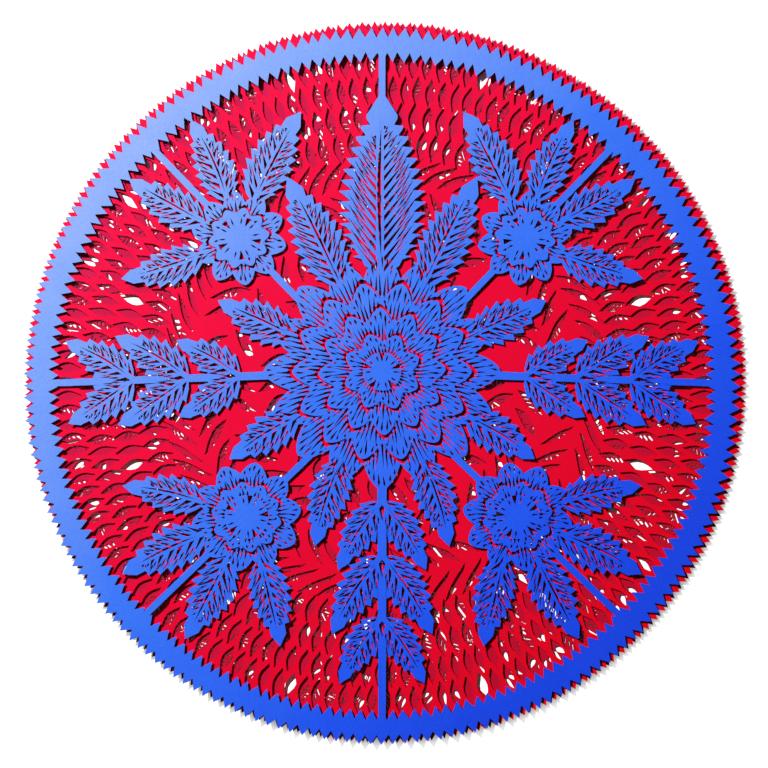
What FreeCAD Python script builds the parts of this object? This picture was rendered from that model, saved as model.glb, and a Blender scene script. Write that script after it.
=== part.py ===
import FreeCAD, Part
import math
import os
from FreeCAD import Vector

# A layered disc of cut card: a blue picture sheet over a bright red net and a deep red ground.
# Millimetres. The disc lies flat: the ground sheet's underside is z = 0, and the picture's top is +Y.

# Outlines of the sheets, to the tips of the pinked teeth
blue_radius = 247.6
net_overhang = 2.1         # how much larger the net was cut than the blue sheet
ground_inset = 0.3         # how much smaller the ground was cut than the net
tooth_pitch = 8.1          # along the circle of the blue sheet's tips
tooth_depth = 7.0
sheet_thickness = 0.3
layer_gap = 1.6            # height of the spacer pads between two sheets

# How far each sheet was laid off the common centre
blue_shift = Vector(-2.4, -2.4, 0)
net_shift = Vector(0.3, 0.3, 0)
ground_shift = Vector(0.4, -0.2, 0)

# Rim of the blue sheet
band_width = 10.3          # plain band between the two rows of teeth
inner_tooth_depth = 6.5
strut_width = 4.6

# Blooms of the blue sheet: each row of petals has a radius to their tips and a depth of the
# valleys between them
petal_curve = 1.5          # how fast a petal's edge falls away from its tip
main_bloom_height = 10.0   # above the sheet's centre
main_bloom_petals = [16, 14, 12, 8]
main_bloom_rows = [(82.0, 17.0), (62.0, 14.0), (44.0, 11.0), (27.0, 8.0)]
corner_bloom_petals = 10
corner_bloom_valley = 8.0
upper_bloom_radius = 33.0
upper_bloom_place = (142.0, 46.0)     # distance and direction from the sheet's centre
lower_bloom_radius = 38.0
lower_bloom_place = (130.0, -44.0)
bloom_gap = 3.4            # width of the cut round a petal's tip
main_eye_radius = 13.0     # of the ring of seed cuts
corner_eye_radius = 15.0
seeds = 5
seed_length = 6.5
seed_width = 4.0

# Stems of the blue sheet
side_stem_width = 6.0
side_stem_heading = -2.0
foot_stem_width = 7.0
foot_stem_tip = 5.0

# Leaves of the blue sheet. On a bloom: direction, length, width, bend
crown_length = 128.0
crown_width = 56.0
main_bloom_leaves = [(64, 84, 34, 0), (22, 58, 28, 6), (-28, 56, 27, -8), (-66, 64, 28, -12)]
upper_bloom_leaves = [(72, 62, 27, -12), (24, 60, 27, 12), (111, 71, 31, 14), (-24, 60, 26, 14)]
lower_bloom_leaves = [(-66, 64, 30, 8), (-22, 64, 30, -8), (-108, 62, 28, 10), (18, 58, 26, -12)]
leaf_seat = 0.8            # where a leaf starts, as a share of its bloom's radius

# On a stem: share of the stem's length, length, width, bend
side_leaves = [(0.42, 50, 24, -12), (0.57, 58, 27, -12), (0.73, 54, 26, -12)]
side_leaf_spread = 38.0    # from the stem, in degrees
foot_leaves = [(0.34, 56, 25, -14), (0.50, 64, 28, -14), (0.68, 54, 24, -14)]
foot_leaf_spread = 40.0

# Form of a leaf
long_leaf = 75.0           # a leaf of this length or more has a third tooth and a cut midrib
leaf_belly_power = 0.72    # the smaller, the nearer to its foot a leaf is widest
leaf_foot_power = 0.8      # the smaller, the rounder the leaf's foot
leaf_tip_power = 1.0       # the larger, the sharper its tip
leaf_tooth_rise = 0.03     # how far a tooth stands out, as a share of the leaf's width
leaf_notch = 0.80          # how far a notch reaches in, as a share of the half width
rib_width = 1.0
rib_cut_width = 0.05       # the cut beside a midrib, as a share of the leaf's width
rib_cut_start = 0.14       # and where it lies along the leaf
rib_cut_belly = 0.40
rib_cut_end = 0.72

# Red net
net_holes = 72
net_hole_length = 30.0
net_hole_width = 12.0
net_edge = 12.0            # plain border outside the holes, inside the teeth

# Deep red ground
ground_holes = 20
ground_hole_length = 24.0
ground_hole_width = 11.0
ground_rows = (26.0, 54.0)  # from the roots of the teeth in to the middle of each row of holes

# Spacer pads
pad_length = 10.0
pad_width = 5.0
rim_pads = 8

# Directions, in degrees from +X
top = 90.0
foot = -90.0

# Worked out from the sizes above
teeth = 4 * max(1, round(2 * math.pi * blue_radius / tooth_pitch / 4))
net_radius = blue_radius + net_overhang
ground_radius = net_radius - ground_inset
blue_root = blue_radius - tooth_depth
net_root = net_radius - tooth_depth
ground_root = ground_radius - tooth_depth
band_inside = blue_root - band_width
band_middle = blue_root - band_width / 2
net_level = sheet_thickness + layer_gap
blue_level = 2 * net_level
main_bloom_radius = main_bloom_rows[0][0]
pad_shift = (blue_shift + net_shift) / 2


def at(distance, direction, centre=Vector(0, 0, 0)):
    """The point at a distance and a direction, in degrees, from a centre."""
    turn = math.radians(direction)
    return centre + Vector(distance * math.cos(turn), distance * math.sin(turn), 0)


def facing_up(flat):
    return flat if flat.normalAt(0, 0).z > 0 else flat.reversed()


def face(points):
    return facing_up(Part.Face(Part.makePolygon(points + points[:1])))


def mirrored(flat):
    """The same flat shape on the other side of the sheet's upright fold."""
    return facing_up(flat.mirror(Vector(0, 0, 0), Vector(1, 0, 0)))


def pinked_disc(tip_radius, root_radius, start=0.0):
    """A disc with a saw-toothed edge."""
    step = 360 / teeth
    points = []
    for tooth in range(teeth):
        points.append(at(tip_radius, start + tooth * step))
        points.append(at(root_radius, start + (tooth + 0.5) * step))
    return face(points)


class Rib:
    """A bent axis that turns evenly by a bend, in degrees, along its length."""

    def __init__(self, start, heading, length, bend=0.0):
        self.start = start
        self.heading = heading
        self.length = length
        self.bend = bend

    def point(self, share, offset=0.0):
        """The point at a share of the length, set off to the left of the axis."""
        turn = math.radians(self.bend * share)
        if self.bend:
            radius = self.length / math.radians(self.bend)
            along = radius * math.sin(turn)
            aside = radius * (1 - math.cos(turn))
        else:
            along = self.length * share
            aside = 0.0
        along -= offset * math.sin(turn)
        aside += offset * math.cos(turn)
        return at(along, self.heading, at(aside, self.heading + top, self.start))


def leaf_reach(share, width):
    """Half the width of a leaf at a share of its length: round at its foot, drawn out to its tip."""
    share = min(1.0, share)
    power = leaf_foot_power + (leaf_tip_power - leaf_foot_power) * share
    return width / 2 * math.sin(math.pi * share ** leaf_belly_power) ** power


def leaf(rib, width, leaf_teeth):
    """A serrated leaf whose teeth point to its tip."""
    def side(sign):
        points = []
        for tooth in range(leaf_teeth):
            notch = 0.06 + 0.82 * (tooth + 0.1) / leaf_teeth
            tip = 0.06 + 0.82 * (tooth + 1) / leaf_teeth
            points.append(rib.point(notch, sign * leaf_notch * leaf_reach(notch + 0.04, width)))
            points.append(rib.point(tip, sign * (leaf_reach(tip, width) + leaf_tooth_rise * width)))
        return points if leaf_teeth > 2 else points[1:]
    return face([rib.point(0)] + side(1) + [rib.point(1)] + side(-1)[::-1])


def rib_cut(rib, width):
    """The tapered cut along one side of a leaf's midrib."""
    edge = rib_width / 2
    belly = rib.point(rib_cut_belly, edge + rib_cut_width * width)
    return face([rib.point(rib_cut_start, edge), rib.point(rib_cut_end, edge), belly])


def stem(rib, foot_width, tip_width):
    """A straight strip along a rib."""
    return face([rib.point(0, foot_width / 2), rib.point(0, -foot_width / 2),
                 rib.point(1, -tip_width / 2), rib.point(1, tip_width / 2)])


def petal_edge(place, radius, valley):
    """Distance of a petal's edge from the bloom's centre, at a place from -1 to 1 across the petal."""
    return radius - valley * abs(place) ** petal_curve


def bloom_disc(centre, petals, radius, valley, start):
    points = []
    for petal in range(petals):
        for place in (-1.0, -0.5, 0.0, 0.5):
            angle = start + (petal + place / 2) * 360 / petals
            points.append(at(petal_edge(place, radius, valley), angle, centre))
    return face(points)


def petal_cuts(centre, petals, radius, valley, start):
    """The curved cuts that lift a row of petals off the row behind it."""
    cuts = []
    for petal in range(petals):
        middle = start + petal * 360 / petals
        half = 180 / petals
        inner = [at(petal_edge(p, radius, valley), middle + p * half, centre) for p in (-0.9, 0, 0.9)]
        cuts.append(face(inner + [at(radius + bloom_gap, middle, centre)]))
    return cuts


def seed_cuts(centre, ring_radius, start):
    """A star of small cuts at the eye of a bloom."""
    cuts = []
    for seed in range(seeds):
        direction = start + seed * 360 / seeds
        rib = Rib(at(ring_radius - seed_length, direction, centre), direction, seed_length)
        cuts.append(face([rib.point(0), rib.point(1, -seed_width / 2), rib.point(1, seed_width / 2)]))
    return cuts


def leaf_and_cut(rib, width):
    """A leaf, with its midrib cut if it is a long one: the shapes and the cuts."""
    if rib.length < long_leaf:
        return [leaf(rib, width, 2)], []
    return [leaf(rib, width, 3)], [rib_cut(rib, width)]


def leaves_on_bloom(centre, radius, leaves):
    """Leaves that start under a bloom's petals."""
    shapes = []
    cuts = []
    for direction, length, width, bend in leaves:
        rib = Rib(at(leaf_seat * radius, direction, centre), direction, length, bend)
        leaf_shapes, leaf_cuts = leaf_and_cut(rib, width)
        shapes += leaf_shapes
        cuts += leaf_cuts
    return shapes, cuts


def leaves_on_stem(rib, sides, spread, leaves):
    """Leaves that leave a stem to its left, side 1, or its right, side -1."""
    shapes = []
    for share, length, width, bend in leaves:
        for side in sides:
            heading = rib.heading + side * spread
            shapes.append(leaf(Rib(rib.point(share), heading, length, side * bend), width, 2))
    return shapes


def corner_bloom(place, radius, leaves):
    """A small bloom on a strut from the centre to the rim, with its leaves."""
    distance, direction = place
    centre = at(distance, direction)
    strut = stem(Rib(Vector(0, 0, 0), direction, band_middle), strut_width, strut_width)
    disc = bloom_disc(centre, corner_bloom_petals, radius, corner_bloom_valley, direction)
    shapes, cuts = leaves_on_bloom(centre, radius, leaves)
    return [strut, disc] + shapes, seed_cuts(centre, corner_eye_radius, direction) + cuts


def main_bloom(centre):
    """The large bloom: rows of petals, each turned half a petal from the row behind it."""
    radius, valley = main_bloom_rows[0]
    shapes = [bloom_disc(centre, main_bloom_petals[0], radius, valley, top)]
    cuts = seed_cuts(centre, main_eye_radius, top)
    turn = 0.0
    for petals, (radius, valley) in zip(main_bloom_petals[1:], main_bloom_rows[1:]):
        turn = 180 / petals - turn
        cuts += petal_cuts(centre, petals, radius, valley, top + turn)
    return shapes, cuts


def blue_motif():
    """Shapes and cuts of the flower picture: one half is drawn, and mirrored at the fold."""
    main_centre = Vector(0, main_bloom_height, 0)
    halves = [corner_bloom(upper_bloom_place, upper_bloom_radius, upper_bloom_leaves),
              corner_bloom(lower_bloom_place, lower_bloom_radius, lower_bloom_leaves),
              leaves_on_bloom(main_centre, main_bloom_radius, main_bloom_leaves)]
    side_stem = Rib(main_centre, side_stem_heading, band_middle)
    foot_stem = Rib(Vector(0, 0, 0), foot, band_middle)
    half_shapes = [stem(side_stem, side_stem_width, strut_width)]
    half_shapes += leaves_on_stem(side_stem, (1, -1), side_leaf_spread, side_leaves)
    half_shapes += leaves_on_stem(foot_stem, (1,), foot_leaf_spread, foot_leaves)
    half_cuts = []
    for more_shapes, more_cuts in halves:
        half_shapes += more_shapes
        half_cuts += more_cuts

    crown = Rib(at(leaf_seat * main_bloom_radius, top, main_centre), top, crown_length)
    top_strut = Rib(Vector(0, 0, 0), top, band_middle)
    shapes, cuts = main_bloom(main_centre)
    crown_shapes, crown_cuts = leaf_and_cut(crown, crown_width)
    shapes += crown_shapes + [stem(top_strut, strut_width, strut_width)]
    shapes += [stem(foot_stem, foot_stem_width, foot_stem_tip)]
    shapes += half_shapes + [mirrored(shape) for shape in half_shapes]
    cuts += crown_cuts + half_cuts + [mirrored(cut) for cut in half_cuts]
    return shapes, cuts


def joined(first, others):
    """One flat face from faces that overlap, without their inner seams."""
    return Part.Shell(first.fuse(others).Faces).removeSplitter().Faces[0]


def blue_front_sheet():
    opening = pinked_disc(band_inside - inner_tooth_depth, band_inside)
    rim = pinked_disc(blue_radius, blue_root).cut(opening)
    shapes, cuts = blue_motif()
    return joined(rim, shapes).cut(cuts)


def lens_hole(distance, direction, length, width):
    """A hole that is long towards the sheet's centre."""
    rib = Rib(at(distance - length / 2, direction), direction, length)
    return face([rib.point(0), rib.point(0.5, -width / 2), rib.point(1), rib.point(0.5, width / 2)])


def red_middle_sheet():
    distance = net_root - net_edge - net_hole_length / 2
    holes = []
    for hole in range(net_holes):
        holes.append(lens_hole(distance, hole * 360 / net_holes, net_hole_length, net_hole_width))
    return pinked_disc(net_radius, net_root).cut(holes)


def red_back_sheet():
    holes = []
    for hole in range(ground_holes):
        distance = ground_root - ground_rows[hole % 2]
        holes.append(lens_hole(distance, hole * 360 / ground_holes, ground_hole_length, ground_hole_width))
    return pinked_disc(ground_radius, ground_root, 180 / teeth).cut(holes)


def pads(level, places):
    """Small card pads, glued between two sheets: distance and direction of each from the centre."""
    solids = []
    for distance, direction in places:
        rib = Rib(at(distance - pad_width / 2, direction), direction, pad_width)
        flat = stem(rib, pad_length, pad_length)
        flat.translate(pad_shift + Vector(0, 0, level))
        solids.append(flat.extrude(Vector(0, 0, layer_gap)))
    return Part.makeCompound(solids)


def solid_sheet(flat, level, shift):
    flat.translate(shift + Vector(0, 0, level))
    return flat.extrude(Vector(0, 0, sheet_thickness))


def pad_places():
    """Distance and direction of each pad: round the rim, and under the blooms."""
    places = [(band_middle, (pad + 0.5) * 360 / rim_pads) for pad in range(rim_pads)]
    places.append((main_bloom_height, top))
    for distance, direction in (upper_bloom_place, lower_bloom_place):
        places.append((distance, direction))
        places.append((distance, 180 - direction))
    return places


nodes = {
    "blue_front_sheet": solid_sheet(blue_front_sheet(), blue_level, blue_shift),
    "red_middle_sheet": solid_sheet(red_middle_sheet(), net_level, net_shift),
    "red_back_sheet": solid_sheet(red_back_sheet(), 0, ground_shift),
    "front_pads": pads(net_level + sheet_thickness, pad_places()),
    "back_pads": pads(sheet_thickness, pad_places()),
}

os.makedirs("parts", exist_ok=True)
for name, shape in nodes.items():
    shape.exportStep(f"parts/{name}.step")
    print(name, len(shape.Solids), "solid(s)", shape.isValid(), round(shape.Volume, 1), "mm3")
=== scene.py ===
import math
import random

import bpy
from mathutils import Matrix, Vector, noise
from mathutils.geometry import delaunay_2d_cdt


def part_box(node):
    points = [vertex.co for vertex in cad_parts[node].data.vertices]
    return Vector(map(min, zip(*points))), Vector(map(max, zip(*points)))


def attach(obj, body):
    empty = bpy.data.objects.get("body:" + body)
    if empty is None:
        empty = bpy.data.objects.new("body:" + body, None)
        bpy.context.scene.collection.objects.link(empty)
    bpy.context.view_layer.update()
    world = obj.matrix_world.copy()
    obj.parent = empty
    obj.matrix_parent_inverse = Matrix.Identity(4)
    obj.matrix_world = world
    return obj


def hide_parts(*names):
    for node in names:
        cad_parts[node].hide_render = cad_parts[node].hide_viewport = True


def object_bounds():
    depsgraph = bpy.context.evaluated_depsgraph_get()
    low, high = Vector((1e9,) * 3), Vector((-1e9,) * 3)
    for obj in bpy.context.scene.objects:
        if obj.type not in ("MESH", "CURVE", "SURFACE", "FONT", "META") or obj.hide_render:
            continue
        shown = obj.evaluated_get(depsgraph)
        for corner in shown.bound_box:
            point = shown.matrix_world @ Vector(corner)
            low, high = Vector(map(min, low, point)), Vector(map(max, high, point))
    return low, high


# A layered disc of cut card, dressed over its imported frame.
# Outlines are drawn in millimetres, as card is measured. A mesh, a lamp and the camera are in metres.

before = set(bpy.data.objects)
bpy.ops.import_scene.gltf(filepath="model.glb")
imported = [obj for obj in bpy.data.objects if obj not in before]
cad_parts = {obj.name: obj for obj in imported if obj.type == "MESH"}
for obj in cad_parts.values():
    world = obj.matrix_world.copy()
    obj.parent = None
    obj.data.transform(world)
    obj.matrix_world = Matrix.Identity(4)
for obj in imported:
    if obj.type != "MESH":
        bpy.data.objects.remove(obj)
cad_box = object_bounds()
MM = 0.001

# Rims, blue band and struts
TOOTH_PITCH = 8.1
TOOTH_DEPTH = 7.0
TOOTH_WANDER = 0.5         # how unevenly deep the teeth were cut
TOOTH_DRIFT = 0.12         # how unevenly they are spaced, as a share of one tooth
BAND_WIDTH = 10.3
INNER_TOOTH_DEPTH = 6.5
STRUT_WIDTH = 4.6

# Blooms: rows of petals as number, radius and depth of the valleys, then the eye with its seeds
PETAL_CURVE = 1.5
MAIN_BLOOM_HEIGHT = 10.0
MAIN_BLOOM_ROWS = [(16, 82.0, 17.0), (14, 62.0, 14.0), (12, 44.0, 11.0), (8, 27.0, 8.0)]
CORNER_PETALS = 10
CORNER_VALLEY = 8.0
CORNER_INNER_SHARE = 0.64  # radius of a corner bloom's inner row, as a share of the bloom's
CORNER_INNER_VALLEY = 5.0
UPPER_BLOOM_RADIUS = 33.0
UPPER_BLOOM_PLACE = (142.0, 46.0)
LOWER_BLOOM_RADIUS = 38.0
LOWER_BLOOM_PLACE = (130.0, -44.0)
MAIN_EYE_RADIUS = 13.0
CORNER_EYE_RADIUS = 15.0
SEEDS = 5
SEED_LENGTH = 6.5
SEED_WIDTH = 4.0
SEED_STROKE = 1.2          # width of the two knife cuts between a seed and the next
SEED_STROKE_ASIDE = 0.22   # how far they lie from the middle between, as a share of the step
CRESCENT_WIDTH = 1.5       # of the cut behind a petal's tip, before what the radius adds
CRESCENT_GROWTH = 0.03     # what each millimetre of the row's radius adds to it
CRESCENT_SPAN = 0.93       # how much of the petal it follows

# Stems and leaves, as in the frame: direction or share of the stem, length, width, bend
SIDE_STEM_WIDTH = 6.0
SIDE_STEM_HEADING = -2.0
FOOT_STEM_WIDTH = 7.0
FOOT_STEM_TIP = 5.0
CROWN_LENGTH = 128.0
CROWN_WIDTH = 56.0
MAIN_BLOOM_LEAVES = [(64, 84, 34, 0), (22, 58, 28, 6), (-28, 56, 27, -8), (-66, 64, 28, -12)]
UPPER_BLOOM_LEAVES = [(72, 62, 27, -12), (24, 60, 27, 12), (111, 71, 31, 14), (-24, 60, 26, 14)]
LOWER_BLOOM_LEAVES = [(-66, 64, 30, 8), (-22, 64, 30, -8), (-108, 62, 28, 10), (18, 58, 26, -12)]
LEAF_SEAT = 0.8
SIDE_LEAVES = [(0.42, 50, 24, -12), (0.57, 58, 27, -12), (0.73, 54, 26, -12)]
SIDE_LEAF_SPREAD = 38.0
FOOT_LEAVES = [(0.34, 56, 25, -14), (0.50, 64, 28, -14), (0.68, 54, 24, -14)]
FOOT_LEAF_SPREAD = 40.0
LEAF_BELLY_POWER = 0.72    # under 1 the widest place is nearer to the foot
LEAF_FOOT_POWER = 0.8
LEAF_TIP_POWER = 1.0
LEAF_FOOT_WIDTH = 1.6
LEAF_TOOTHED = 0.82        # how much of the leaf's length has teeth and veins
LEAF_FIRST_TOOTH = 0.05    # share of the length at which the teeth start
LEAF_TOOTH_PITCH = 7.6     # along the leaf
LEAF_TOOTH_RISE = 0.055    # of a tooth's tip over the leaf's edge, as a share of its width
NOTCH_REACH = 0.78         # distance of a notch from the midrib, as a share of the edge's
SHOULDER_REACH = 0.97

# Knife cuts on leaves and petals
VEIN_PITCH = 7.2           # between two wedge cuts, along the leaf
VEIN_SLOPE = 1.35          # how far a cut runs along the leaf for each step across it
VEIN_START = 0.02          # share of the leaf's length at which the first vein leaves the midrib
VEIN_DRIFT = 0.12
WEDGE_REACH = (0.76, 0.84)
WEDGE_ROOM = (0.48, 0.64)  # a wedge's width at the midrib, as a share of the pitch
MIDRIB_CARD = 1.3          # from the midrib's line to the slanting cuts, besides the cut along it
CUT_LIMIT = 0.86           # outer end of a slanting cut at most, as a share of the edge's distance
LAST_CUT = 0.96            # no slanting cut ends past this share of the leaf's length
SHORTEST_CUT = 1.5
FINE_CUTS = [(0.56, 0.34, 0.72), (0.78, 0.50, 0.90)]  # place between two veins, inner and outer end
FINE_CUT_WIDTH = (1.0, 1.45)
RIB_WIDTH = 1.2
RIB_CUT_WIDTH = 0.05       # as a share of the leaf's width
RIB_CUT_START = 0.10
RIB_CUT_RUN = 0.70
HATCH_PITCH = 4.0          # between two knife cuts on a petal
HATCH_WIDTH = (1.5, 2.0)
HATCH_LEAN = 0.4           # share of the step between two cuts
HATCH_OUTWARDS = 0.72      # length of a cut from the next row, as a share of the free width
HATCH_INWARDS = 0.50       # and of one from the edge
SHORTEST_HATCH = 2.5
PETAL_RIM = 1.8            # card between the petal's edge and its knife cuts

# Red net and the red ground beneath it, whose deeper red is painted shade
NET_EDGE = 12.0
NET_HOLE_LENGTH = 21.0
NET_HOLE_SHARE = 0.78      # width of a hole, as a share of the step from one to the next
NET_ROW_STEP = 18.5
NET_COLUMNS = [144, 144, 120, 108]
LEANING_ROWS = [(147, 76), (124, 60), (101, 46), (78, 34)]  # radius and number of holes
LEANING_LENGTH = 23.0
LEANING_SHARE = 0.62
LEANING_TURN = 9           # in degrees, to either side by turns
LEANING_LEFT_OUT = 0.12    # share of these holes that isn't cut
GROUND_HOLES = 20
GROUND_HOLE_LENGTH = 24.0
GROUND_HOLE_WIDTH = 11.0
GROUND_ROWS = (26.0, 54.0)
FROND_EDGE = 21.0          # from the tooth roots to the first ring of fronds
FROND_RING_STEP = 14.0
FROND_SPACING = 16.0
FROND_CENTRE = 40.0        # radius of the plain middle
FROND_FREE = 17.0          # from a frond's middle to the nearest hole's
FROND_LENGTH = 13.6
FROND_SIDE_PAIRS = 4
FROND_SIDE_STEP = 0.23
FROND_SIDE_RUN = 0.28
FROND_SIDE_FOOT = 1.6
DROP_SHARE = 0.27          # share of the places that have three drops, not a frond
DROP_STEP = 4.6
DROP_FAN = 14              # degrees between two drops

# Card
WAVE_LENGTH = 55.0         # of the bows between the pads
WAVE_WEIGHT = 0.8
RIPPLE_LENGTH = 17.0
RIPPLE_WEIGHT = 0.3
FLAT_ROUND_PAD = 22.0      # distance over which a sheet comes down to its pads
FLAT_ON_PAD = 0.3          # share of that distance that stays flat
GRID_STEP = 7.0            # spacing of the points that let a sheet bow
RIM_PADS = 8
BLUE_BOW = (-0.25, 0.0)    # lowest and highest place off the flat one
NET_BOW = (-0.2, 0.2)
GROUND_BOW = (0.45, 0.85)

# Card colours, each from the upper left to the lower right, as place and colour. How much paler each gets
# towards the upper left is painted light and sheen from the lamp there.
BLUE_CARD_WITH_PAINTED_LIGHT = [
    (0.02, (0.29, 0.41, 0.86)),
    (0.17, (0.19, 0.345, 0.87)),
    (0.5, (0.040, 0.18, 0.93)),
    (0.83, (0.012, 0.090, 0.92)),
    (0.98, (0.008, 0.062, 0.84)),
]
# Painted light: the net's red is paler towards the upper left, where the lamp's light falls
RED_CARD_WITH_PAINTED_LIGHT = [
    (0.0, (0.88, 0.006, 0.065)),
    (0.5, (0.82, 0.001, 0.036)),
    (1.0, (0.80, 0.001, 0.015)),
]
# Painted shade and light: the ground is the same red card as the net. Its deeper red paints the shade on
# the lowest sheet, and its paler upper left paints the lamp's light
RED_GROUND_WITH_PAINTED_LIGHT_AND_SHADE = [
    (0.0, (0.58, 0.010, 0.075)),
    (0.5, (0.56, 0.006, 0.045)),
    (1.0, (0.54, 0.003, 0.025)),
]
BOARD_COLOUR = (0.80, 0.78, 0.74)

# Ground, lamp and camera: metres, watts, millimetres of lens and sensor, pixels of the photograph
GROUND_HALF = 4.0
GROUND_DROP = 0.0002       # under the disc, so that the two don't flicker
# Painted light: beyond the disc's edge the ground glows to the camera and fades the disc's cast shadow
# there
GLOW_START = 0.243         # radius at which the ground's own light sets in, and is full
GLOW_FULL = 0.252
GLOW_SHARE = 0.78
LAMP_PLACE = (-2.0, 2.0, 2.05)
LAMP_SIZE = 0.16
LAMP_POWER = 206
SKY_STRENGTH = 0.035
FOCAL_LENGTH = 100
SENSOR_WIDTH = 36
PHOTO_WIDTH = 768
DISC_WIDTH = 725
DISC_OFFSET = 1.5          # of the disc's centre to the right of the photograph's, and above it


def at(distance, direction, centre=(0.0, 0.0)):
    """The point at a distance and a direction, in degrees, from a centre."""
    turn = math.radians(direction)
    return (centre[0] + distance * math.cos(turn), centre[1] + distance * math.sin(turn))


def mirrored(outline):
    return [(-x, y) for x, y in reversed(outline)]


class Rib:
    """A bent axis that turns evenly by a bend, in degrees, along its length."""

    def __init__(self, start, heading, length, bend=0.0):
        self.start = start
        self.heading = heading
        self.length = length
        self.bend = bend

    def point(self, share, offset=0.0):
        """The point at a share of the length, set off to the left of the axis."""
        turn = math.radians(self.bend * share)
        if self.bend:
            radius = self.length / math.radians(self.bend)
            along = radius * math.sin(turn)
            aside = radius * (1 - math.cos(turn))
        else:
            along = self.length * share
            aside = 0.0
        along -= offset * math.sin(turn)
        aside += offset * math.cos(turn)
        return at(along, self.heading, at(aside, self.heading + 90, self.start))


def sliver(start, end, width, belly=0.35):
    """A knife cut that tapers to both ends."""
    across = Vector((start[1] - end[1], end[0] - start[0])).normalized() * width / 2
    middle = Vector(start).lerp(Vector(end), belly)
    return [start, tuple(middle - across), end, tuple(middle + across)]


def slit(start, end, width):
    """A knife cut of one width with pointed ends."""
    across = Vector((start[1] - end[1], end[0] - start[0])).normalized() * width / 2
    near = Vector(start).lerp(Vector(end), 0.15)
    far = Vector(start).lerp(Vector(end), 0.85)
    return [start, tuple(near - across), tuple(far - across),
            end, tuple(far + across), tuple(near + across)]


def pinked_circle(tip_radius, root_radius, teeth, start=0.0, seed=1):
    """A hand-cut saw-toothed circle."""
    chance = random.Random(seed)
    points = []
    for tooth in range(teeth):
        drift = chance.uniform(-TOOTH_DRIFT, TOOTH_DRIFT)
        tip = tip_radius - chance.uniform(0, TOOTH_WANDER)
        points.append(at(tip, start + (tooth + drift) * 360 / teeth))
        drift = chance.uniform(-TOOTH_DRIFT, TOOTH_DRIFT)
        root = root_radius + chance.uniform(-TOOTH_WANDER, TOOTH_WANDER)
        points.append(at(root, start + (tooth + 0.5 + drift) * 360 / teeth))
    return points


def leaf_reach(share, width):
    """Half the width of a leaf at a share of its length."""
    share = min(1.0, max(0.0, share))
    power = LEAF_FOOT_POWER + (LEAF_TIP_POWER - LEAF_FOOT_POWER) * share
    return width / 2 * math.sin(math.pi * share ** LEAF_BELLY_POWER) ** power


def leaf_outline(rib, width):
    """A leaf with saw teeth on both sides of its rib, which lean towards its tip."""
    teeth = round(LEAF_TOOTHED * rib.length / LEAF_TOOTH_PITCH)

    def side(sign):
        points = []
        for tooth in range(teeth):
            notch = LEAF_FIRST_TOOTH + LEAF_TOOTHED * (tooth + 0.10) / teeth
            tip = LEAF_FIRST_TOOTH + LEAF_TOOTHED * (tooth + 1) / teeth
            shoulder = (notch + 2 * tip) / 3
            rise = LEAF_TOOTH_RISE * width * (1 - 0.6 * tip)
            points.append(rib.point(notch, sign * NOTCH_REACH * leaf_reach(notch + 0.02, width)))
            points.append(rib.point(shoulder, sign * SHOULDER_REACH * leaf_reach(tip - 0.04, width)))
            points.append(rib.point(tip, sign * (leaf_reach(tip - 0.01, width) + rise)))
        return points

    foot = LEAF_FOOT_WIDTH / 2
    return [rib.point(0, -foot)] + side(-1) + [rib.point(1)] + side(1)[::-1] + [rib.point(0, foot)]


def slanting(rib, width, sign, foot, near, inner, outer):
    """Ends of a slanting cut between two shares of the leaf's reach, or none if it would be too short."""
    reach = leaf_reach(foot + 0.5 * VEIN_SLOPE * width / 2 / rib.length, width)
    start_off = max(near, inner * reach)
    end_off = outer * reach
    end_share = foot + VEIN_SLOPE * (end_off - near) / rib.length
    end_off = min(end_off, CUT_LIMIT * leaf_reach(end_share, width))
    if end_off - start_off < SHORTEST_CUT or end_share > LAST_CUT:
        return None
    start_share = foot + VEIN_SLOPE * (start_off - near) / rib.length
    return rib.point(start_share, sign * start_off), rib.point(end_share, sign * end_off)


def wedge(rib, sign, near, foot, room, tip):
    """A cut that is broad at the midrib and runs out to a point, a little bowed."""
    low = Vector(rib.point(foot, sign * near))
    high = Vector(rib.point(foot + room / rib.length, sign * near))
    tip = Vector(tip)
    low_middle = low.lerp(tip, 0.5)
    high_middle = high.lerp(tip, 0.5)
    sag = 0.35 * (high_middle - low_middle)
    return [tuple(low), tuple(low_middle + sag * 0.4), tuple(tip),
            tuple(high_middle - sag * 0.1), tuple(high)]


def leaf_cuts(rib, width, chance):
    """The cut beside the midrib, wedges that leave the veins standing, and fine cuts between them."""
    edge = RIB_WIDTH / 2
    gap = RIB_CUT_WIDTH * width
    steps = 9
    shares = [RIB_CUT_START + RIB_CUT_RUN * step / steps for step in range(steps + 1)]
    lower = [rib.point(share, edge) for share in shares]
    upper = [rib.point(share, edge + gap * math.sin(math.pi * (share - RIB_CUT_START) / RIB_CUT_RUN))
             for share in shares[1:-1]]
    cuts = [lower + upper[::-1]]
    veins = round(LEAF_TOOTHED * rib.length / VEIN_PITCH)
    for sign in (1, -1):
        near = gap + MIDRIB_CARD if sign > 0 else MIDRIB_CARD
        for vein in range(veins):
            foot = VEIN_START + LEAF_TOOTHED * (vein + chance.uniform(0, VEIN_DRIFT)) / veins
            ends = slanting(rib, width, sign, foot, near, 0.0, chance.uniform(*WEDGE_REACH))
            if ends:
                room = chance.uniform(*WEDGE_ROOM) * VEIN_PITCH * (1 - 0.35 * foot)
                cuts.append(wedge(rib, sign, near, foot, room, ends[1]))
            for late, inner, outer in FINE_CUTS:
                ends = slanting(rib, width, sign, foot + late * LEAF_TOOTHED / veins, near, inner, outer)
                if ends:
                    cuts.append(sliver(*ends, chance.uniform(*FINE_CUT_WIDTH)))
    return cuts


def petal_edge(place, radius, valley):
    """Distance of a petal's edge from the bloom's centre, at a place from -1 to 1 across it."""
    return radius - valley * abs(place) ** PETAL_CURVE


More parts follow.
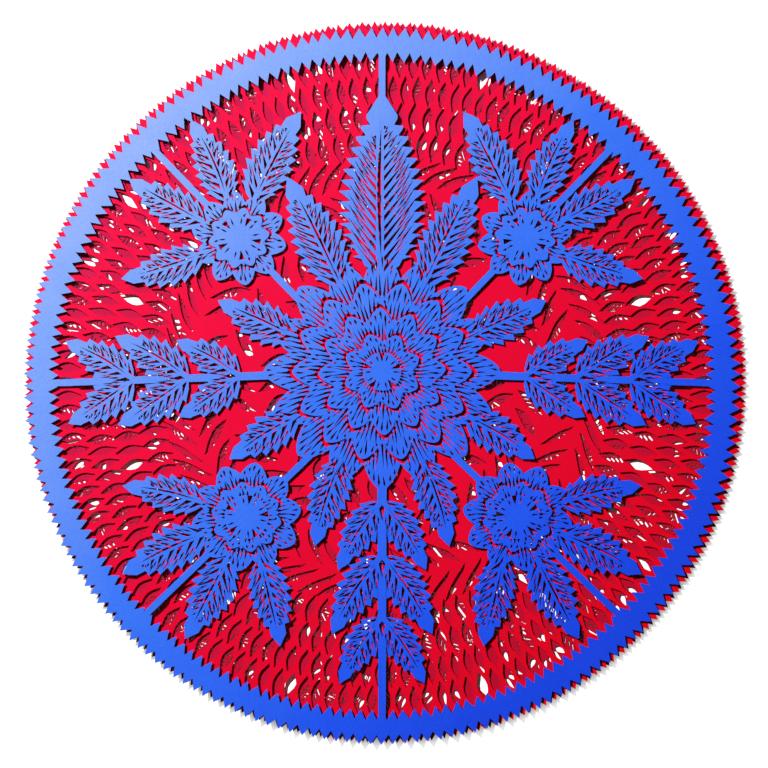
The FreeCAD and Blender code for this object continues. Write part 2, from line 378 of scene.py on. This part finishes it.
def bloom_outline(centre, petals, radius, valley, start):
    points = []
    steps = 10
    for petal in range(petals):
        for step in range(steps):
            place = 2 * step / steps - 1
            angle = start + (petal + place / 2) * 360 / petals
            points.append(at(petal_edge(place, radius, valley), angle, centre))
    return points


def row_edge(angle, row, start):
    """Distance of a row's edge from the bloom's centre in any direction."""
    petals, radius, valley = row
    place = ((angle - start) * petals / 360 + 0.5) % 1 * 2 - 1
    return petal_edge(place, radius, valley)


def crescent_width(row):
    radius = row[1]
    return CRESCENT_WIDTH + CRESCENT_GROWTH * radius


def crescent(centre, row, middle):
    """The curved cut behind a petal's tip, which lifts it off the row behind it."""
    petals, radius, valley = row
    width = crescent_width(row)
    half = 180 / petals
    steps = 8
    inner = []
    outer = []
    for step in range(-steps, steps + 1):
        place = CRESCENT_SPAN * step / steps
        edge = petal_edge(place, radius, valley)
        inner.append(at(edge, middle + place * half, centre))
        outer.append(at(edge + width * (1 - abs(step) / steps) ** 0.7, middle + place * half, centre))
    return inner + outer[::-1][1:-1]


def petal_hatch(centre, row, start, within, chance):
    """Knife cuts on a row of petals: from their edge inwards, and from the next row outwards."""
    strokes = round(2 * math.pi * row[1] / HATCH_PITCH)
    cuts = []
    for stroke in range(strokes):
        for late, outwards in ((0.0, False), (0.5, True)):
            angle = start + (stroke + late) * 360 / strokes
            edge = row_edge(angle, row, start) - PETAL_RIM
            base = within(angle)
            free = edge - base
            lean = chance.uniform(-HATCH_LEAN, HATCH_LEAN) * 360 / strokes
            if outwards:
                length = HATCH_OUTWARDS * free * chance.uniform(0.7, 1.1)
                shape = 0.08
            else:
                length = HATCH_INWARDS * free * chance.uniform(0.5, 1.1)
                shape = 0.3
            if length < SHORTEST_HATCH:
                continue
            breadth = chance.uniform(*HATCH_WIDTH) * (1 if outwards else 0.8)
            first, last = (base, base + length) if outwards else (edge, edge - length)
            cuts.append(sliver(at(first, angle, centre), at(last, angle + lean, centre), breadth, shape))
    return cuts


def bloom_cuts(centre, rows, eye_radius, start, chance):
    """All cuts of a bloom: behind each petal of the inner rows, on the petals, and at the eye."""
    cuts = []
    starts = [start]
    turn = 0.0
    for row in rows[1:]:
        turn = 180 / row[0] - turn
        starts.append(start + turn)
    for number, row in enumerate(rows):
        if number:
            petals = row[0]
            for petal in range(petals):
                cuts.append(crescent(centre, row, starts[number] + petal * 360 / petals))

        def within(angle):
            if number + 1 == len(rows):
                return eye_radius
            next_row = rows[number + 1]
            return row_edge(angle, next_row, starts[number + 1]) + 0.4 * crescent_width(next_row)

        cuts += petal_hatch(centre, row, starts[number], within, chance)
    for seed in range(SEEDS):
        direction = start + seed * 360 / SEEDS
        rib = Rib(at(eye_radius - SEED_LENGTH, direction, centre), direction, SEED_LENGTH)
        cuts.append([rib.point(0), rib.point(1, -SEED_WIDTH / 2), rib.point(1, SEED_WIDTH / 2)])
        for side in (-SEED_STROKE_ASIDE, SEED_STROKE_ASIDE):
            between = direction + (0.5 + side) * 360 / SEEDS
            inner = at(eye_radius - SEED_LENGTH * 0.9, between, centre)
            cuts.append(sliver(inner, at(eye_radius, between, centre), SEED_STROKE))
    return cuts


def stem_outline(rib, foot_width, tip_width):
    return [rib.point(0, -foot_width / 2), rib.point(1, -tip_width / 2),
            rib.point(1, tip_width / 2), rib.point(0, foot_width / 2)]


def leaves_on_bloom(centre, radius, leaves):
    for direction, length, width, bend in leaves:
        yield Rib(at(LEAF_SEAT * radius, direction, centre), direction, length, bend), width


def leaves_on_stem(rib, sides, spread, leaves):
    for share, length, width, bend in leaves:
        for side in sides:
            yield Rib(rib.point(share), rib.heading + side * spread, length, side * bend), width


def blue_drawing(band_middle):
    """Shapes and cuts of the flower picture. Card is folded and cut, so one half mirrors the other."""
    chance = random.Random(11)
    centre = (0.0, MAIN_BLOOM_HEIGHT)
    side_stem = Rib(centre, SIDE_STEM_HEADING, band_middle)
    foot_stem = Rib((0.0, 0.0), -90, band_middle)
    half_shapes = [stem_outline(side_stem, SIDE_STEM_WIDTH, STRUT_WIDTH)]
    half_cuts = []
    leaves = list(leaves_on_stem(side_stem, (1, -1), SIDE_LEAF_SPREAD, SIDE_LEAVES))
    leaves += leaves_on_stem(foot_stem, (1,), FOOT_LEAF_SPREAD, FOOT_LEAVES)
    leaves += leaves_on_bloom(centre, MAIN_BLOOM_ROWS[0][1], MAIN_BLOOM_LEAVES)
    for place, radius, bloom_leaves in ((UPPER_BLOOM_PLACE, UPPER_BLOOM_RADIUS, UPPER_BLOOM_LEAVES),
                                        (LOWER_BLOOM_PLACE, LOWER_BLOOM_RADIUS, LOWER_BLOOM_LEAVES)):
        corner = at(*place)
        rows = [(CORNER_PETALS, radius, CORNER_VALLEY),
                (CORNER_PETALS, CORNER_INNER_SHARE * radius, CORNER_INNER_VALLEY)]
        strut = Rib((0.0, 0.0), place[1], band_middle)
        half_shapes.append(stem_outline(strut, STRUT_WIDTH, STRUT_WIDTH))
        half_shapes.append(bloom_outline(corner, *rows[0], place[1]))
        half_cuts += bloom_cuts(corner, rows, CORNER_EYE_RADIUS, place[1], chance)
        leaves += leaves_on_bloom(corner, radius, bloom_leaves)
    for rib, width in leaves:
        half_shapes.append(leaf_outline(rib, width))
        half_cuts += leaf_cuts(rib, width, chance)

    crown = Rib(at(LEAF_SEAT * MAIN_BLOOM_ROWS[0][1], 90, centre), 90, CROWN_LENGTH)
    shapes = [bloom_outline(centre, *MAIN_BLOOM_ROWS[0], 90), leaf_outline(crown, CROWN_WIDTH),
              stem_outline(Rib((0.0, 0.0), 90, band_middle), STRUT_WIDTH, STRUT_WIDTH),
              stem_outline(foot_stem, FOOT_STEM_WIDTH, FOOT_STEM_TIP)]
    cuts = bloom_cuts(centre, MAIN_BLOOM_ROWS, MAIN_EYE_RADIUS, 90, chance)
    cuts += leaf_cuts(crown, CROWN_WIDTH, chance)
    shapes += half_shapes + [mirrored(outline) for outline in half_shapes]
    cuts += half_cuts + [mirrored(outline) for outline in half_cuts]
    return shapes, cuts


def lens(distance, direction, length, width, lean=0.0):
    """A pointed hole, long towards the sheet's centre, or leaning by some degrees."""
    left = []
    right = []
    steps = 6
    for step in range(steps + 1):
        share = step / steps
        radius = distance + (share - 0.5) * length
        half = math.degrees(width / 2 * math.sin(math.pi * share) ** 1.2 / radius)
        middle = direction + lean * (share - 0.5)
        left.append(at(radius, middle + half))
        right.append(at(radius, middle - half))
    return right + left[-2:0:-1]


def net_cuts(tooth_root):
    """Four rows of pointed holes round the edge, then rows of long leaning ones."""
    chance = random.Random(23)
    distance = tooth_root - NET_EDGE - NET_HOLE_LENGTH / 2
    cuts = []
    for row, columns in enumerate(NET_COLUMNS):
        room = 2 * math.pi * distance / columns
        for hole in range(columns):
            direction = (hole + 0.5 * (row % 2) + chance.uniform(-0.06, 0.06)) * 360 / columns
            width = NET_HOLE_SHARE * room * chance.uniform(0.88, 1.05)
            length = NET_HOLE_LENGTH * chance.uniform(0.92, 1.04)
            cuts.append(lens(distance, direction, length, width))
        distance -= NET_ROW_STEP
    for row, (distance, holes) in enumerate(LEANING_ROWS):
        room = 2 * math.pi * distance / holes
        lean = LEANING_TURN if row % 2 else -LEANING_TURN
        for hole in range(holes):
            if chance.random() < LEANING_LEFT_OUT:
                continue
            direction = (hole + chance.uniform(-0.1, 0.1)) * 360 / holes
            length = LEANING_LENGTH * chance.uniform(0.8, 1.0)
            width = LEANING_SHARE * room * chance.uniform(0.8, 1.1)
            cuts.append(lens(distance, direction, length, width, lean))
    return cuts


def rounded_hole(centre, heading, length, width):
    """A hole like a drop, round at one end."""
    rib = Rib(at(length / 2, heading + 180, centre), heading, length)
    left = []
    right = []
    steps = 6
    for step in range(1, steps):
        share = step / steps
        half = width / 2 * math.sin(math.pi * share ** 0.6)
        left.append(rib.point(share, half))
        right.append(rib.point(share, -half))
    return [rib.point(0)] + right + [rib.point(1)] + left[::-1]


def drops(middle, heading, chance):
    """Three holes like drops, side by side, in a small fan."""
    cuts = []
    for step in (-1, 0, 1):
        place = at(DROP_STEP * step, heading + 90, middle)
        length = chance.uniform(7, 11)
        width = chance.uniform(2.6, 4.0)
        cuts.append(rounded_hole(place, heading + DROP_FAN * step, length, width))
    return cuts


def frond(middle, heading, chance):
    """A bent cut with pairs of slanting side cuts, like the veins of a leaf."""
    start = at(FROND_LENGTH / 2, heading + 180, middle)
    rib = Rib(start, heading, FROND_LENGTH, chance.uniform(-35, 35))
    cuts = [slit(rib.point(0.0), rib.point(1.0), chance.uniform(1.0, 1.4))]
    for pair in range(FROND_SIDE_PAIRS):
        foot = FROND_SIDE_STEP * pair
        for side in (1, -1):
            reach = chance.uniform(4.6, 6.4)
            inner = rib.point(foot, side * FROND_SIDE_FOOT)
            outer = rib.point(foot + FROND_SIDE_RUN, side * reach)
            cuts.append(slit(inner, outer, chance.uniform(0.9, 1.3)))
    return cuts


def ground_cuts(tooth_root):
    """Pointed holes through to the white ground, and rings of fronds and drops between them."""
    chance = random.Random(5)
    cuts = []
    holes = []
    for hole in range(GROUND_HOLES):
        distance = tooth_root - GROUND_ROWS[hole % 2]
        direction = hole * 360 / GROUND_HOLES
        holes.append(at(distance, direction))
        cuts.append(lens(distance, direction, GROUND_HOLE_LENGTH, GROUND_HOLE_WIDTH))
    distance = tooth_root - FROND_EDGE
    while distance > FROND_CENTRE:
        places = round(2 * math.pi * distance / FROND_SPACING)
        for place in range(places):
            direction = (place + chance.uniform(-0.15, 0.15)) * 360 / places
            middle = at(distance + chance.uniform(-1.5, 1.5), direction)
            if min(math.dist(middle, hole) for hole in holes) < FROND_FREE:
                continue
            heading = direction + chance.uniform(-50, 50)
            figure = drops if chance.random() < DROP_SHARE else frond
            cuts += figure(middle, heading, chance)
        distance -= FROND_RING_STEP
    return cuts


def anticlockwise(outline):
    ends = outline[1:] + outline[:1]
    double_area = sum(start[0] * end[1] - end[0] * start[1] for start, end in zip(outline, ends))
    return outline if double_area > 0 else outline[::-1]


def cut_card(disc, opening, shapes, cuts):
    """Triangles of the disc without its opening, with the shapes, less the cuts."""
    outlines = [disc] + ([opening] if opening else []) + shapes + cuts
    first_shape = 2 if opening else 1
    first_cut = first_shape + len(shapes)
    points = []
    faces = []
    for outline in outlines:
        faces.append(list(range(len(points), len(points) + len(outline))))
        points += [Vector(point) for point in anticlockwise(outline)]
    reach = max(point.x for point in points)
    steps = int(reach / GRID_STEP)
    for column in range(-steps, steps + 1):
        for row in range(-steps, steps + 1):
            point = Vector((column * GRID_STEP, row * GRID_STEP))
            if point.length < reach - TOOTH_DEPTH:
                points.append(point)
    points, _, triangles, _, _, sources = delaunay_2d_cdt(points, [], faces, 0, 1e-6, True)
    kept = []
    for triangle, source in zip(triangles, sources):
        card = 0 in source and not (opening and 1 in source)
        drawn = any(first_shape <= face < first_cut for face in source)
        if (card or drawn) and max(source) < first_cut:
            kept.append(triangle)
    return points, kept


def pad_places(band_middle):
    """Centres of the pads, which lie midway between the places of the blue sheet and the net."""
    blue_centre = box_centre("blue_front_sheet")
    net_centre = box_centre("red_middle_sheet")
    shift = ((blue_centre[0] + net_centre[0]) / 2, (blue_centre[1] + net_centre[1]) / 2)
    places = [at(band_middle, (pad + 0.5) * 360 / RIM_PADS, shift) for pad in range(RIM_PADS)]
    places.append(at(MAIN_BLOOM_HEIGHT, 90, shift))
    for distance, direction in (UPPER_BLOOM_PLACE, LOWER_BLOOM_PLACE):
        places += [at(distance, direction, shift), at(distance, 180 - direction, shift)]
    return places


def bow(point, pads, seed, low, high):
    """How far a sheet stands off its flat place: not at all on its pads, low to high away from them."""
    near = min(math.dist(point, pad) for pad in pads)
    free = min(1.0, max(0.0, near / FLAT_ROUND_PAD - FLAT_ON_PAD))
    free = free * free * (3 - 2 * free)
    wave = noise.noise(Vector((point[0] / WAVE_LENGTH, point[1] / WAVE_LENGTH, seed)))
    ripple = noise.noise(Vector((point[0] / RIPPLE_LENGTH, point[1] / RIPPLE_LENGTH, seed + 5)))
    level = 0.5 + WAVE_WEIGHT * wave + RIPPLE_WEIGHT * ripple
    return free * (low + (high - low) * min(1.0, max(0.0, level)))


def card_sheet(name, node, slot, drawing, seed, low, high):
    """A sheet of cut card in the place of its CAD node, with a top, an underside and cut edges."""
    corner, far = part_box(node)
    shift = box_centre(node)
    bottom = corner[2] / MM
    top = far[2] / MM
    points, triangles = drawing
    used = sorted({index for triangle in triangles for index in triangle})
    order = {index: place for place, index in enumerate(used)}
    count = len(used)
    verts = []
    for level in (top, bottom):
        for index in used:
            place = (points[index].x + shift[0], points[index].y + shift[1])
            lift = bow(place, PADS, seed, low, high)
            verts.append((place[0] * MM, place[1] * MM, (level + lift) * MM))
    tops = [[order[index] for index in triangle] for triangle in triangles]
    bottoms = [[count + index for index in reversed(triangle)] for triangle in tops]
    borders = {}
    for triangle in tops:
        for start, end in zip(triangle, triangle[1:] + triangle[:1]):
            if (end, start) in borders:
                del borders[(end, start)]
            else:
                borders[(start, end)] = True
    walls = [[start, count + start, count + end, end] for start, end in borders]
    mesh = bpy.data.meshes.new(name)
    mesh.from_pydata(verts, [], tops + bottoms + walls)
    piece = bpy.data.objects.new(name, mesh)
    bpy.context.scene.collection.objects.link(piece)
    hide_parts(node)
    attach(piece, "root")
    return piece


def node_material(name):
    material = bpy.data.materials.new(name)
    material.use_nodes = True
    nodes = material.node_tree.nodes
    return material, nodes, material.node_tree.links, nodes["Principled BSDF"]


def card_material(name, ramp, roughness, specular):
    """Card with painted light: its colour runs along the sheet's diagonal, paler towards the upper left
    and deeper towards the lower right, as the lamp's light and sheen fall from the upper left; with
    mottled dye and a fibre grain.
    """
    material, nodes, links, shader = node_material(name)
    shader.inputs["Specular IOR Level"].default_value = specular
    place = nodes.new("ShaderNodeNewGeometry")
    # Painted light: the place along the diagonal from the upper left, where the lamp stands, sets how
    # pale the colour is
    along = nodes.new("ShaderNodeVectorMath")
    along.operation = "DOT_PRODUCT"
    along.inputs[1].default_value = (math.sqrt(0.5), -math.sqrt(0.5), 0)
    links.new(place.outputs["Position"], along.inputs[0])

    mottle = nodes.new("ShaderNodeTexNoise")
    mottle.inputs["Scale"].default_value = 45
    mottle.inputs["Detail"].default_value = 4
    links.new(place.outputs["Position"], mottle.inputs["Vector"])
    drift = nodes.new("ShaderNodeMath")
    drift.operation = "MULTIPLY_ADD"
    drift.inputs[1].default_value = 0.05
    links.new(mottle.outputs["Fac"], drift.inputs[0])
    links.new(along.outputs["Value"], drift.inputs[2])
    share = nodes.new("ShaderNodeMapRange")
    share.inputs["From Min"].default_value = -0.25
    share.inputs["From Max"].default_value = 0.25
    links.new(drift.outputs[0], share.inputs["Value"])
    colours = nodes.new("ShaderNodeValToRGB")
    elements = colours.color_ramp.elements
    for element, (position, colour) in zip(elements, (ramp[0], ramp[-1])):
        element.position = position
        element.color = (*colour, 1)
    for position, colour in ramp[1:-1]:
        elements.new(position).color = (*colour, 1)
    links.new(share.outputs["Result"], colours.inputs["Fac"])

    grain = nodes.new("ShaderNodeTexNoise")
    grain.inputs["Scale"].default_value = 900
    grain.inputs["Detail"].default_value = 5
    grain.inputs["Roughness"].default_value = 0.7
    links.new(place.outputs["Position"], grain.inputs["Vector"])
    tone = nodes.new("ShaderNodeMapRange")
    tone.inputs["From Min"].default_value = 0.3
    tone.inputs["From Max"].default_value = 0.7
    tone.inputs["To Min"].default_value = 0.88
    tone.inputs["To Max"].default_value = 1.08
    links.new(grain.outputs["Fac"], tone.inputs["Value"])
    dye = nodes.new("ShaderNodeVectorMath")
    dye.operation = "SCALE"
    links.new(colours.outputs["Color"], dye.inputs[0])
    links.new(tone.outputs["Result"], dye.inputs["Scale"])
    links.new(dye.outputs["Vector"], shader.inputs["Base Color"])

    rough = nodes.new("ShaderNodeMapRange")
    rough.inputs["To Min"].default_value = roughness - 0.06
    rough.inputs["To Max"].default_value = roughness + 0.06
    links.new(grain.outputs["Fac"], rough.inputs["Value"])
    links.new(rough.outputs["Result"], shader.inputs["Roughness"])
    bump = nodes.new("ShaderNodeBump")
    bump.inputs["Strength"].default_value = 0.35
    bump.inputs["Distance"].default_value = 0.0002
    links.new(grain.outputs["Fac"], bump.inputs["Height"])
    links.new(bump.outputs["Normal"], shader.inputs["Normal"])
    return material


def floor_material():
    """White ground that keeps the shadows under the disc, and looks as white as the photograph's to the
    camera. Beyond the disc's edge it glows to the camera: painted light that fades the disc's cast shadow
    there.
    """
    material, nodes, links, shader = node_material("white_ground")
    shader.inputs["Base Color"].default_value = (0.80, 0.80, 0.80, 1)
    shader.inputs["Roughness"].default_value = 0.9
    bright = nodes.new("ShaderNodeBsdfDiffuse")
    bright.inputs["Color"].default_value = (1.45, 1.45, 1.45, 1)
    seen = nodes.new("ShaderNodeLightPath")
    mix = nodes.new("ShaderNodeMixShader")
    # Painted light: this glow, mixed in beyond the disc's edge, fades the disc's cast shadow on the
    # ground
    glow = nodes.new("ShaderNodeEmission")
    glow.inputs["Strength"].default_value = 1.0
    place = nodes.new("ShaderNodeNewGeometry")
    distance = nodes.new("ShaderNodeVectorMath")
    distance.operation = "LENGTH"
    links.new(place.outputs["Position"], distance.inputs[0])
    beyond = nodes.new("ShaderNodeMapRange")
    beyond.inputs["From Min"].default_value = GLOW_START
    beyond.inputs["From Max"].default_value = GLOW_FULL
    beyond.inputs["To Max"].default_value = GLOW_SHARE
    links.new(distance.outputs["Value"], beyond.inputs["Value"])
    open_ground = nodes.new("ShaderNodeMixShader")
    links.new(beyond.outputs["Result"], open_ground.inputs["Fac"])
    links.new(bright.outputs["BSDF"], open_ground.inputs[1])
    links.new(glow.outputs["Emission"], open_ground.inputs[2])
    links.new(seen.outputs["Is Camera Ray"], mix.inputs["Fac"])
    links.new(shader.outputs["BSDF"], mix.inputs[1])
    links.new(open_ground.outputs["Shader"], mix.inputs[2])
    links.new(mix.outputs["Shader"], nodes["Material Output"].inputs["Surface"])
    return material


def add_floor():
    mesh = bpy.data.meshes.new("ground")
    half = GROUND_HALF
    corners = [(-half, -half, 0), (half, -half, 0), (half, half, 0), (-half, half, 0)]
    mesh.from_pydata(corners, [], [(0, 1, 2, 3)])
    floor = bpy.data.objects.new("ground", mesh)
    floor.data.materials.append(floor_material())
    floor.location.z = -GROUND_DROP
    bpy.context.scene.collection.objects.link(floor)


def aim(thing, target):
    thing.rotation_euler = (Vector(target) - thing.location).to_track_quat("-Z", "Y").to_euler()


def add_lamp(name, place, size, power):
    data = bpy.data.lights.new(name, "AREA")
    data.shape = "DISK"
    data.size = size
    data.energy = power
    lamp = bpy.data.objects.new(name, data)
    lamp.location = place
    aim(lamp, (0, 0, 0))
    bpy.context.scene.collection.objects.link(lamp)


def add_camera():
    """Straight above the disc, with the disc's place in the photograph's frame."""
    data = bpy.data.cameras.new("camera")
    data.lens = FOCAL_LENGTH
    data.sensor_width = SENSOR_WIDTH
    view = (cad_box[1][0] - cad_box[0][0]) * PHOTO_WIDTH / DISC_WIDTH
    side = -DISC_OFFSET / PHOTO_WIDTH * view
    top = cad_box[1][2]
    camera = bpy.data.objects.new("camera", data)
    camera.location = (side, side, top + view * data.lens / data.sensor_width)
    bpy.context.scene.collection.objects.link(camera)
    bpy.context.scene.camera = camera


def add_world(strength):
    world = bpy.data.worlds.new("studio")
    world.use_nodes = True
    background = world.node_tree.nodes["Background"]
    background.inputs["Color"].default_value = (1, 1, 1, 1)
    background.inputs["Strength"].default_value = strength
    bpy.context.scene.world = world


def box_centre(node):
    corner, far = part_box(node)
    return ((corner[0] + far[0]) / 2 / MM, (corner[1] + far[1]) / 2 / MM)


def box_radius(node):
    corner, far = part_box(node)
    return (far[0] - corner[0]) / 2 / MM


blue_radius = box_radius("blue_front_sheet")
net_radius = box_radius("red_middle_sheet")
ground_radius = box_radius("red_back_sheet")
teeth = 4 * round(2 * math.pi * blue_radius / TOOTH_PITCH / 4)
blue_root = blue_radius - TOOTH_DEPTH
net_root = net_radius - TOOTH_DEPTH
ground_root = ground_radius - TOOTH_DEPTH
band_inside = blue_root - BAND_WIDTH
band_middle = blue_root - BAND_WIDTH / 2
PADS = pad_places(band_middle)

blue_opening = pinked_circle(band_inside - INNER_TOOTH_DEPTH, band_inside, teeth, seed=2)
blue_disc = pinked_circle(blue_radius, blue_root, teeth, seed=1)
net_disc = pinked_circle(net_radius, net_root, teeth, seed=3)
ground_disc = pinked_circle(ground_radius, ground_root, teeth, start=180 / teeth, seed=4)
blue_cut = cut_card(blue_disc, blue_opening, *blue_drawing(band_middle))
net_cut = cut_card(net_disc, None, [], net_cuts(net_root))
ground_cut = cut_card(ground_disc, None, [], ground_cuts(ground_root))

blue = card_sheet("blue_card", "blue_front_sheet", "blue_card", blue_cut, 1.0, *BLUE_BOW)
net = card_sheet("red_net", "red_middle_sheet", "red_card", net_cut, 2.0, *NET_BOW)
# The ground sheet is the net's red card; the deeper red it is given is painted shade
ground = card_sheet("red_ground_painted_shade", "red_back_sheet", "deep_red_card", ground_cut, 3.0, *GROUND_BOW)
for piece in (blue, net, ground):
    print(piece.name, sum(len(face.vertices) - 2 for face in piece.data.polygons), "triangles")

# The blue card's colour paints the lamp's light and sheen: paler towards the upper left, deeper towards
# the lower right
blue.data.materials.append(card_material("blue_card_painted_light", BLUE_CARD_WITH_PAINTED_LIGHT, 0.5, 0.25))
# The net's colour paints the lamp's light: paler towards the upper left
net.data.materials.append(card_material("red_card_painted_light", RED_CARD_WITH_PAINTED_LIGHT, 0.6, 0.06))
# The ground's colour is painted shade, deeper than the net's red, and painted light, paler towards the
# upper left
ground.data.materials.append(card_material("red_ground_painted_light_and_shade", RED_GROUND_WITH_PAINTED_LIGHT_AND_SHADE, 0.6, 0.06))
board = card_material("white_board", [(0.0, BOARD_COLOUR), (1.0, BOARD_COLOUR)], 0.8, 0.2)
for name in ("front_pads", "back_pads"):
    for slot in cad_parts[name].material_slots:
        slot.material = board

add_floor()
add_lamp("key", LAMP_PLACE, LAMP_SIZE, LAMP_POWER)
add_world(SKY_STRENGTH)
add_camera()
bpy.context.scene.view_settings.view_transform = "Standard"
